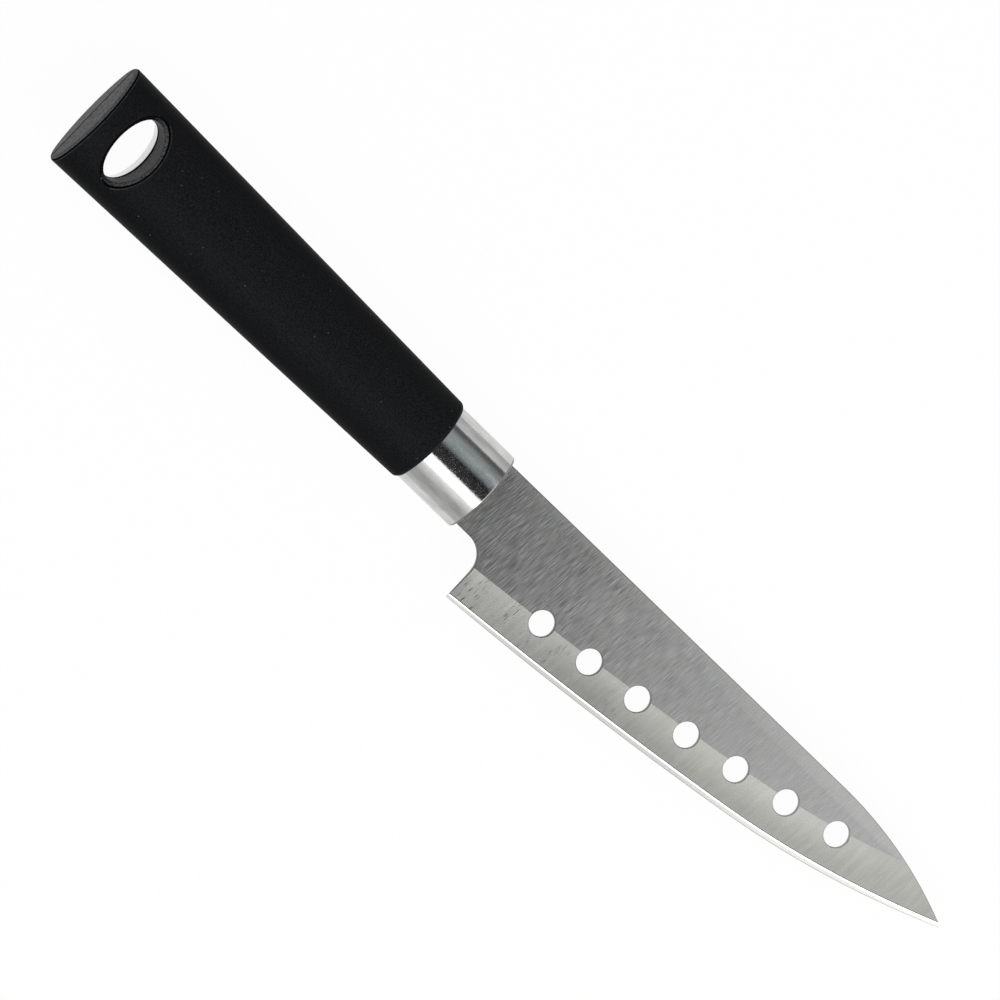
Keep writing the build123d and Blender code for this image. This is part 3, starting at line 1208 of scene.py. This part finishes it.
@dataclass
class Ferrule(SubAssembly):
    """Drawn steel cap between handle and blade."""

    start: float = 89.7
    length: float = 14.2
    oval: Oval = Oval(17.7, 12.0, 0.6)
    wall: float = 0.7
    front_round: float = 0.6
    rear_round: float = 0.2
    slot_width: float = 11.2
    slot_height: float = 1.45
    side_steps: int = 24
    flat_steps: int = 44
    round_steps: int = 6
    barrel_steps: int = 4

    def stations(self) -> list[Pair]:
        """Lists the rings of the outer skin.

        Returns:
            Place and inset of each ring, from the inside of the rear rim to the front.
        """
        end = self.start + self.length
        barrel = spaced(self.start + self.rear_round, end - self.front_round, self.barrel_steps)[1:-1]
        rear, front = (rounding(radius, self.round_steps) for radius in (self.rear_round, self.front_round))
        return [
            (self.start, self.wall),
            *((self.start + along, inset) for along, inset in rear),
            *((x, 0.0) for x in barrel),
            *((end - along, inset) for along, inset in reversed(front)),
        ]

    def skin(self, mesh: BMesh, rings: list[Pair]) -> list[BMVert]:
        """Makes a skin through rings, with a plate in its last ring that has the tang's slot.

        Args:
            mesh: Mesh that takes it.
            rings: Place and inset of each ring.

        Returns:
            The corners of the slot.
        """
        loops = [self.oval.ring(x, inset, self.side_steps, self.flat_steps) for x, inset in rings]
        border = sweep(mesh, loops, closed=True)[1]
        verts = [
            mesh.verts.new((rings[-1][0], y * self.slot_width / 2, z * self.slot_height / 2))
            for y, z in ((1, -1), (1, 1), (-1, 1), (-1, -1))
        ]
        slot = [mesh.edges.new((verts[index - 1], verts[index])) for index in range(len(verts))]
        bmesh.ops.triangle_fill(mesh, use_beauty=True, use_dissolve=False, edges=border + slot)
        return verts

    def build(self) -> Object:
        """Makes the cap.

        Returns:
            The piece.
        """
        mesh = bmesh.new()
        inner_front = self.start + self.length - self.wall
        outer = self.skin(mesh, self.stations())
        inner = self.skin(mesh, [(self.start, self.wall), (inner_front, self.wall)])
        for index in range(len(outer)):
            mesh.faces.new((outer[index - 1], outer[index], inner[index], inner[index - 1]))
        return self.finish("ferrule_cap", mesh, ("ferrule",), "ferrule_steel")


@dataclass(frozen=True)
class Arc:
    """An arc that leaves a point in a direction and ends at another point, in the blade's plane."""

    start: Vector
    end: Vector
    heading: Vector

    @property
    def turn(self) -> float:
        """Angle that the arc turns through, positive to the left."""
        chord = self.end - self.start
        return 2 * math.atan2(self.heading.cross(chord), self.heading.dot(chord))

    @property
    def radius(self) -> float:
        """Radius with the turn's sign."""
        return (self.end - self.start).length / (2 * math.sin(self.turn / 2))

    @property
    def centre(self) -> Vector:
        """Centre of the arc."""
        return self.start + self.heading.orthogonal() * self.radius

    @property
    def length(self) -> float:
        """Length along the arc."""
        return abs(self.radius * self.turn)

    def at(self, share: float) -> Vector:
        """Point at a share of the arc's length."""
        return self.centre + Matrix.Rotation(self.turn * share, 2) @ (self.start - self.centre)

    def heading_at(self, share: float) -> Vector:
        """Direction of the arc at a share of its length."""
        return Matrix.Rotation(self.turn * share, 2) @ self.heading


@dataclass
class Blade(SubAssembly):
    """Stamped and ground plate with its tang."""

    front: float = 103.9
    length: float = 125.7
    thickness: float = 1.25
    neck_length: float = 4.1
    neck_depth: float = 7.55
    notch_radius: float = 4.8
    heel_depth: float = 18.75
    heel_angle: float = 3.8
    belly_depth: float = 11.43
    belly_share: float = 0.59
    spine_height: float = 7.5
    spine_rise: float = 0.45
    point_length: float = 33.9
    tip_height: float = 1.55
    tip_clearance: float = 0.03
    grind_heel_width: float = 7.5
    grind_tip_width: float = 9.0
    shoulder_thickness: float = 0.4
    bevel_width: float = 1.15
    bevel_end_width: float = 0.8
    bevel_power: int = 4
    edge_thickness: float = 0.06
    hollow: float = 0.03
    hollow_rows: int = 6
    hole_count: int = 7
    hole_diameter: float = 5.2
    hole_row_start: float = 17.1
    hole_row_height: float = 8.9
    hole_row_end: float = 28.45
    hole_row_drop: float = 1.07
    hole_row_sag: float = 1.25
    tang_length: float = 62.0
    tang_width: float = 11.0
    tang_end_width: float = 8.0
    tang_hole_diameter: float = 4.2
    tang_hole_inset: float = 10.1
    tang_hole_pitch: float = 20.0
    tang_hole_count: int = 2
    punch_length: float = 5.0
    corner_round: float = 0.12
    corner_angle: float = 1.0
    wall_slope: float = 0.1
    sharp_angle: float = 0.95
    brushing_lean: float = 6.7
    front_half: float = 0.5
    halvings: int = 40
    line_gap: float = 0.1
    notch_steps: int = 18
    edge_steps: int = 90
    point_steps: int = 40
    hole_steps: int = 72
    heel: Vector = field(init=False)
    tip: Vector = field(init=False)
    rear_edge: Arc = field(init=False)
    front_edge: Arc = field(init=False)
    point: Arc = field(init=False)

    def __post_init__(self) -> None:
        """Works out the outline's arcs."""
        heel_x, tip_x = self.front + self.neck_length + self.notch_radius, self.front + self.length
        self.heel = Vector((heel_x, -self.heel_depth))
        self.tip = Vector((tip_x, self.tip_height))
        belly = Vector((heel_x + (tip_x - heel_x) * self.belly_share, -self.belly_depth))
        angle = math.radians(self.heel_angle)
        self.rear_edge = Arc(self.heel, belly, Vector((math.cos(angle), math.sin(angle))))
        self.front_edge = Arc(belly, self.tip, self.rear_edge.heading_at(1))
        spine_front = Vector((self.front, self.spine_height))
        break_point = Vector((tip_x - self.point_length, self.spine_height + self.spine_rise))
        self.point = Arc(break_point, self.tip, (break_point - spine_front).normalized())

    def on_edge(self, share: float) -> tuple[Vector, Vector]:
        """Finds a place on the cutting edge.

        Args:
            share: Share of the whole edge's length, from the heel.

        Returns:
            The place, and the direction square to the edge into the blade.
        """
        arc, along = self.rear_edge, share * (self.rear_edge.length + self.front_edge.length)
        if along > self.rear_edge.length:
            arc, along = self.front_edge, along - self.rear_edge.length
        return arc.at(along / arc.length), arc.heading_at(along / arc.length).orthogonal()

    def reach(self, share: float) -> float:
        """Finds how far it is from a place on the edge, square to it, to the arc of the spine's point.

        Args:
            share: Share of the whole edge's length, from the heel.

        Returns:
            The distance.
        """
        place, inward = self.on_edge(share)
        offset = place - self.point.centre
        along = offset.dot(inward)
        return -along + math.sqrt(max(along**2 - offset.length_squared + self.point.radius**2, 0.0))

    def grind_width_at(self, share: float) -> float:
        """Width of both grinds together at a share of the edge."""
        gain = self.grind_tip_width - self.grind_heel_width
        return self.grind_heel_width + gain * (1 - (1 - share) ** 2)

    def bevel_width_at(self, share: float) -> float:
        """Width of the sharpened bevel at a share of the edge."""
        loss = self.bevel_width - self.bevel_end_width
        return self.bevel_width - loss * (2 * share - 1) ** self.bevel_power

    def height_at(self, share: float, inside: float) -> float:
        """Finds the half thickness of the ground blade.

        Args:
            share: Share of the whole edge's length, from the heel.
            inside: Distance inside the edge.

        Returns:
            The height above the middle plane.
        """
        grind, bevel = self.grind_width_at(share), self.bevel_width_at(share)
        shoulder, edge = self.shoulder_thickness / 2, self.edge_thickness / 2
        if inside <= bevel:
            return edge + (shoulder - edge) * inside / bevel
        part = (inside - bevel) / (grind - bevel)
        return shoulder + (self.thickness / 2 - shoulder) * part - 4 * self.hollow * part * (1 - part)

    def share_where(self, test: Callable[[float], bool]) -> float:
        """Finds by halving where along the front half of the edge a test starts to hold.

        Args:
            test: Test of a share of the edge.

        Returns:
            The share.
        """
        low, high = self.front_half, 1.0
        for _ in range(self.halvings):
            middle = (low + high) / 2
            low, high = (low, middle) if test(middle) else (middle, high)
        return high

    def place_on_grind(self, spot: Vector) -> Pair:
        """Finds where a place on the blade lies from the edge.

        Args:
            spot: The place.

        Returns:
            The share of the edge next to it, and its distance inside the edge.
        """
        beyond = (spot - self.rear_edge.end).dot(self.rear_edge.heading_at(1)) > 0
        arc, start = (self.front_edge, self.rear_edge.length) if beyond else (self.rear_edge, 0.0)
        arm = spot - arc.centre
        along = start + abs((arc.start - arc.centre).angle_signed(arm) * arc.radius)
        share = min(along / (self.rear_edge.length + self.front_edge.length), 1.0)
        return share, abs(arm.length - abs(arc.radius))

    def depth_below_spine(self, spot: Vector) -> float:
        """Finds how far a place on the flat side is from the spine.

        Args:
            spot: The place.

        Returns:
            The distance.
        """
        from_break = spot - self.point.start
        if from_break.dot(self.point.heading) > 0:
            return abs(self.point.radius) - (spot - self.point.centre).length
        return -from_break.dot(self.point.heading.orthogonal())

    def row_point(self, share: float, inside: float) -> Point:
        """Finds a point of the ground surface, held within the outline.

        Args:
            share: Share of the whole edge's length, from the heel.
            inside: Distance inside the edge.

        Returns:
            The point.
        """
        place, inward = self.on_edge(share)
        spot = place + inward * inside
        if share == 0.0:
            rise = max(spot.y + self.neck_depth + self.notch_radius, 0.0)
            spot.x = self.heel.x - self.notch_radius + math.sqrt(self.notch_radius**2 - rise**2)
        return (spot.x, spot.y, self.height_at(share, inside))

    def grind_rows(self, shares: list[float]) -> list[list[Point]]:
        """Gives rows of points along the edge, along the bevel's line, and on to the grind's line.

        Args:
            shares: Shares of the edge at which each row has a point.

        Returns:
            The rows, from the edge inwards.
        """
        rows = [[] for _ in range(self.hollow_rows + 2)]
        for share in shares:
            room = self.reach(share) if share > self.front_half else math.inf
            widths = spaced(self.bevel_width_at(share), self.grind_width_at(share), self.hollow_rows)
            for row, inside in zip(rows, [0.0, *widths]):
                row.append(self.row_point(share, min(inside, room)))
        return rows

    def rest_of_outline(self, start: Vector) -> list[Point]:
        """Gives the points of the flat side's outline that the grind doesn't bound.

        Args:
            start: Place on the spine's point where the grind's line meets it.

        Returns:
            Points back along the spine, round the tang and along neck and notch to the heel.
        """
        swept = (start - self.point.centre).angle_signed(self.point.start - self.point.centre)
        point = spaced(abs(swept / self.point.turn), 0.0, self.point_steps)[1:]
        tang_end = self.front - self.tang_length
        corners = (
            (self.front, self.spine_height),
            (self.front, self.tang_width / 2),
            (tang_end, self.tang_end_width / 2),
            (tang_end, -self.tang_end_width / 2),
            (self.front, -self.tang_width / 2),
            (self.front, -self.neck_depth),
        )
        notch_start = Vector((self.front + self.neck_length, -self.neck_depth))
        notch_end = Vector((self.heel.x, -self.neck_depth - self.notch_radius))
        notch = Arc(notch_start, notch_end, Vector((1, 0)))
        line_y = self.row_point(0.0, self.grind_width_at(0.0))[1]
        spots = [self.point.at(share) for share in point] + [Vector(corner) for corner in corners]
        for share in spaced(0.0, 1.0, self.notch_steps):
            if notch.at(share).y > line_y + self.line_gap:
                spots.append(notch.at(share))
        return [(spot.x, spot.y, self.thickness / 2) for spot in spots]

    def upper_side(self, mesh: BMesh) -> None:
        """Makes the upper side: bevel, grind and flat, with its walls down to the middle plane.

        Args:
            mesh: Mesh that takes it.
        """
        limit = (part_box("blade")[1].x - self.seat.butt_x) / MM - self.tip_clearance
        end = self.share_where(lambda share: self.on_edge(share)[0].x > limit)
        crossing = self.share_where(lambda share: self.reach(share) < self.grind_width_at(share))
        shares = spaced(0.0, crossing, self.edge_steps) + spaced(crossing, end, self.point_steps)[1:]
        line = sweep(mesh, self.grind_rows(shares), closed=False)[1]
        for face in mesh.faces:
            above = any(vert.co.z > self.shoulder_thickness / 2 + MERGE for vert in face.verts)
            face.material_index = Zone.GRIND.value if above else Zone.EDGE.value
        row = mesh.verts.layers.int[ROW]
        verts = {vert[row]: vert for edge in line for vert in edge.verts}
        start = verts[self.edge_steps]
        rest = [mesh.verts.new(point) for point in self.rest_of_outline(start.co.xy)]
        chain = [start, *rest, verts[0]]
        outline = [mesh.edges.new(pair) for pair in zip(chain, chain[1:])]
        outline += [edge for edge in line if all(vert[row] <= self.edge_steps for vert in edge.verts)]
        bmesh.ops.edgeloop_fill(mesh, edges=outline, mat_nr=Zone.FLAT.value)
        merge(mesh)
        border = [edge for edge in mesh.edges if edge.is_boundary]
        for item in bmesh.ops.extrude_edge_only(mesh, edges=border)["geom"]:
            if isinstance(item, BMVert):
                item.co.z = 0.0
            if isinstance(item, BMFace):
                item.material_index = Zone.FLAT.value

    def hole_places(self) -> list[Vector]:
        """Finds the centres of the blade's holes.

        Returns:
            The centres, evenly spaced along an arc that sags towards the edge.
        """
        first = self.heel + Vector((self.hole_row_start, self.hole_row_height))
        last = self.tip - Vector((self.hole_row_end, self.hole_row_drop))
        chord = last - first
        bend = 2 * math.atan2(2 * self.hole_row_sag, chord.length)
        row = Arc(first, last, Matrix.Rotation(-bend, 2) @ chord.normalized())
        return [row.at(share) for share in spaced(0.0, 1.0, self.hole_count - 1)]

    def punches(self) -> BMesh:
        """Makes the round punches for all holes.

        Returns:
            The punches, as one mesh.
        """
        mesh = bmesh.new()
        first = self.front - self.tang_length + self.tang_hole_inset
        places = [(place.x, place.y, self.hole_diameter) for place in self.hole_places()]
        for index in range(self.tang_hole_count):
            places.append((first + index * self.tang_hole_pitch, 0.0, self.tang_hole_diameter))
        for x, y, diameter in places:
            size = {"radius1": diameter / 2, "radius2": diameter / 2, "depth": self.punch_length}
            middle = Matrix.Translation((x, y, 0))
            bmesh.ops.create_cone(mesh, cap_ends=True, segments=self.hole_steps, matrix=middle, **size)
        return mesh

    def is_rim(self, edge: BMEdge) -> bool:
        """Whether an edge is the sharp border of a wall or hole that gets rounded.

        Args:
            edge: The edge.

        Returns:
            True if it is.
        """
        if not edge.is_manifold or edge.calc_face_angle() <= self.corner_angle:
            return False
        first, second = (vert.co.z for vert in edge.verts)
        return first * second > 0 and min(abs(first), abs(second)) > self.shoulder_thickness / 2

    def build(self) -> Object:
        """Makes the blade.

        Returns:
            The piece.
        """
        mesh = bmesh.new()
        self.upper_side(mesh)
        geometry = mesh.verts[:] + mesh.edges[:] + mesh.faces[:]
        bmesh.ops.mirror(mesh, geom=geometry, axis="Z", merge_dist=MERGE)
        merge(mesh)
        face_outwards(mesh)
        mesh = cut_away(mesh, self.punches(), Zone)
        round_edges(mesh, [edge for edge in mesh.edges if self.is_rim(edge)], self.corner_round, Zone.RIM)
        mesh.normal_update()
        for face in mesh.faces:
            if abs(face.normal.z) < self.wall_slope:
                face.material_index = Zone.RIM.value
        for edge in mesh.edges:
            zones = {face.material_index for face in edge.link_faces}
            edge.smooth = len(zones) == 1 and edge.calc_face_angle(0) < self.sharp_angle
        self.lay_brushing(mesh)
        return self.finish("blade_plate", mesh, ("blade",), "blade_steel")

    def lay_brushing(self, mesh: BMesh) -> None:
        """Lays the two UV maps, in metres.

        Args:
            mesh: Mesh of the blade.
        """
        brushing, borders = (mesh.loops.layers.uv.new(name) for name in (BRUSHING, BORDERS))
        turn = Matrix.Rotation(math.radians(self.brushing_lean), 2)
        for face in mesh.faces:
            zone = Zone(face.material_index)
            for loop in face.loops:
                spot = loop.vert.co.xy
                loop[brushing].uv = turn @ (spot * MM)
                loop[borders].uv = (spot.x * MM, self.from_border(spot, zone))

    def from_border(self, spot: Vector, zone: Zone) -> float:
        """Finds the distance of a place from its zone's border.

        Args:
            spot: Place on the blade.
            zone: Kind of surface there.

        Returns:
            Metres below the spine on the flat, metres above the shoulder on the grind, and on the
            sharpened edge the share of its width below the shoulder, as a negative number.
        """
        if zone not in (Zone.GRIND, Zone.EDGE):
            return self.depth_below_spine(spot) * MM
        share, inside = self.place_on_grind(spot)
        above = inside - self.bevel_width_at(share)
        return above * MM if zone is Zone.GRIND else above / self.bevel_width_at(share)


@dataclass(frozen=True)
class Lamp:
    """A soft lamp that faces straight down. Its level is the brightness of its surface, 1 for white."""

    name: str
    place: Point
    sides: Pair
    level: float

    def hang(self) -> None:
        """Hangs the lamp."""
        data = bpy.data.lights.new(self.name, "AREA")
        data.shape = "RECTANGLE"
        data.size, data.size_y = self.sides
        data.energy = self.level * math.pi * math.prod(self.sides)
        add_object(self.name, data).location = self.place


@dataclass
class Studio:
    """Pale floor, lamps and surroundings."""

    floor_side: float = 6.0
    floor_colour: Colour = grey(0.85)
    floor_glow_share: float = 0.965
    # Angle round the knife in degrees, level of the grey there, and how much it leans to blue.
    side_levels: tuple[Point, ...] = (
        (-180, 0.9, 0), (-100, 0.8, 0), (-83, 0.67, 0), (-69, 0.5, 0), (-57, 0.59, 0), (-45, 1.05, 0),
        (-36, 1.4, 0), (-16, 0.05, 0), (12, 0.02, 0), (20, 0.3, 0.12), (33, 0.47, 0.12), (48, 0.36, 0.1),
        (56, 0.14, 0), (64, 0.14, 0), (66, 0.85, 0), (83, 0.57, 0), (180, 0.9, 0),
    )
    # For each end, where the sides start and end to give way to it, and its level.
    ends: tuple[Point, ...] = ((0.28, 0.7, 0.85), (-0.25, -0.6, 1.0))
    # Share of the red's loss that the green has where a grey leans to blue.
    green_loss: float = 1 / 3
    lamps: tuple[Lamp, ...] = (
        Lamp("key", (0.15, -0.39, 0.8), (1.7, 0.38), 1.55),
        Lamp("tip_panel", (0.46, 0.0, 0.45), (0.6, 0.7), 0.95),
    )

    def floor(self) -> None:
        """Lays the floor, which looks white but keeps a faint shadow."""
        mesh = bmesh.new()
        bmesh.ops.create_grid(mesh, x_segments=1, y_segments=1, size=self.floor_side / 2)
        piece = to_object("floor", mesh)
        piece.data.materials.append(self.floor_material())

    def floor_material(self) -> Material:
        """Makes the floor's material.

        Returns:
            The material: white to the camera and in reflections, grey where shaded.
        """
        material = bpy.data.materials.new("pale_floor")
        material.use_nodes = True
        nodes = Nodes(material.node_tree)
        nodes.tree.nodes.clear()
        rays = nodes.add("LightPath").outputs
        shares = {0: rays["Is Camera Ray"], 1: self.floor_glow_share, 2: rays["Is Glossy Ray"]}
        seen = nodes.add("Math", shares, operation="MULTIPLY_ADD", use_clamp=True)
        paint = nodes.add("BsdfDiffuse", {"Color": self.floor_colour})
        glow = nodes.add("Emission")
        mix = nodes.add("MixShader", {0: seen.outputs[0], 1: paint.outputs[0], 2: glow.outputs[0]})
        nodes.add("OutputMaterial", {"Surface": mix.outputs[0]})
        return material

    def surroundings(self) -> None:
        """Lights the surroundings: grey sides, a dark gap overhead and bright ends."""
        world = bpy.data.worlds.new("surroundings")
        world.use_nodes = True
        nodes = Nodes(world.node_tree)
        parts = nodes.add("SeparateXYZ", {"Vector": nodes.add("TexCoord").outputs["Generated"]}).outputs
        angle = nodes.calculate("ARCTAN2", parts["Y"], parts["Z"])
        sides = nodes.add("ValToRGB", {"Fac": nodes.spread(angle, (-math.pi, math.pi, 0.0, 1.0))})
        stops = sides.color_ramp.elements
        for index, (degrees, level, cool) in enumerate(self.side_levels):
            place = degrees / 360 + 0.5
            stop = stops[index] if index < len(stops) else stops.new(place)
            stop.position = place
            stop.color = (level * (1 - cool), level * (1 - cool * self.green_loss), level, 1)
        colour = sides.outputs["Color"]
        for near, far, level in self.ends:
            share = nodes.spread(parts["X"], (near, far, 0.0, 1.0), "SMOOTHSTEP")
            colour = nodes.blend(share, colour, grey(level))
        nodes.put(nodes.tree.nodes["Background"], "Color", colour)
        bpy.context.scene.world = world

    def build(self) -> None:
        """Sets up the whole studio."""
        self.floor()
        self.surroundings()
        for lamp in self.lamps:
            lamp.hang()
        bpy.context.scene.view_settings.view_transform = "Standard"


@dataclass
class PhotoCamera:
    """Camera at the photograph's angle, with a long lens."""

    seat: Seat
    tilt: float = 15.5
    roll_share: float = 0.035
    turn: float = 44.3
    focal_pixels: float = 8000.0
    pixels_per_mm: float = 5.33
    image_width: float = 1000.0
    sensor_width: float = 36.0
    clip: Pair = (0.01, 50.0)
    aim: Point = (107.4, 1.3, 0.0)

    def build(self) -> None:
        """Makes the camera and lets the scene use it."""
        tilt, turn = math.radians(self.tilt), math.radians(self.turn)
        back = Vector((-math.sin(tilt), -self.roll_share, math.cos(tilt))).normalized()
        along = Vector((1, 0, 0))
        along = (along - along.dot(back) * back).normalized()
        across = back.cross(along)
        right = math.cos(turn) * along + math.sin(turn) * across
        up = math.cos(turn) * across - math.sin(turn) * along
        data = bpy.data.cameras.new("photo_camera")
        data.sensor_width = self.sensor_width
        data.lens = self.focal_pixels * self.sensor_width / self.image_width
        data.clip_start, data.clip_end = self.clip
        camera = add_object("photo_camera", data)
        place = self.seat.point(*self.aim) + back * self.focal_pixels / self.pixels_per_mm * MM
        camera.matrix_world = Matrix.Translation(place) @ Matrix((right, up, back)).transposed().to_4x4()
        bpy.context.scene.camera = camera


def main() -> None:
    """Builds the knife's pieces, their finishes, the studio and the camera."""
    logging.basicConfig(level=logging.INFO, format="%(message)s")
    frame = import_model()
    seat = Seat.from_frame()
    hole_x = seat.point(HandleHalf.hole_centre, 0, 0).x
    plastics = SoftPlastic(seat.middle_z).kinds(hole_x, HandleHalf.hole_fade * MM)
    for upper in (True, False):
        half = HandleHalf(seat, upper=upper)
        half.dress(half.build(), plastics)
    ferrule = Ferrule(seat)
    ferrule.dress(ferrule.build(), [PolishedSteel(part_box("ferrule")[1].x).make()])
    blade = Blade(seat)
    finishes = [finish().make() for finish in (BrushedSteel, GroundSteel, HonedEdge, CutSteel)]
    blade.dress(blade.build(), finishes)
    seal = frame["nodes"]["ferrule_seal"]
    seal.material_slots[0].material = CastResin().make()
    Studio().build()
    PhotoCamera(seat).build()


if __name__ == "__main__":
    main()
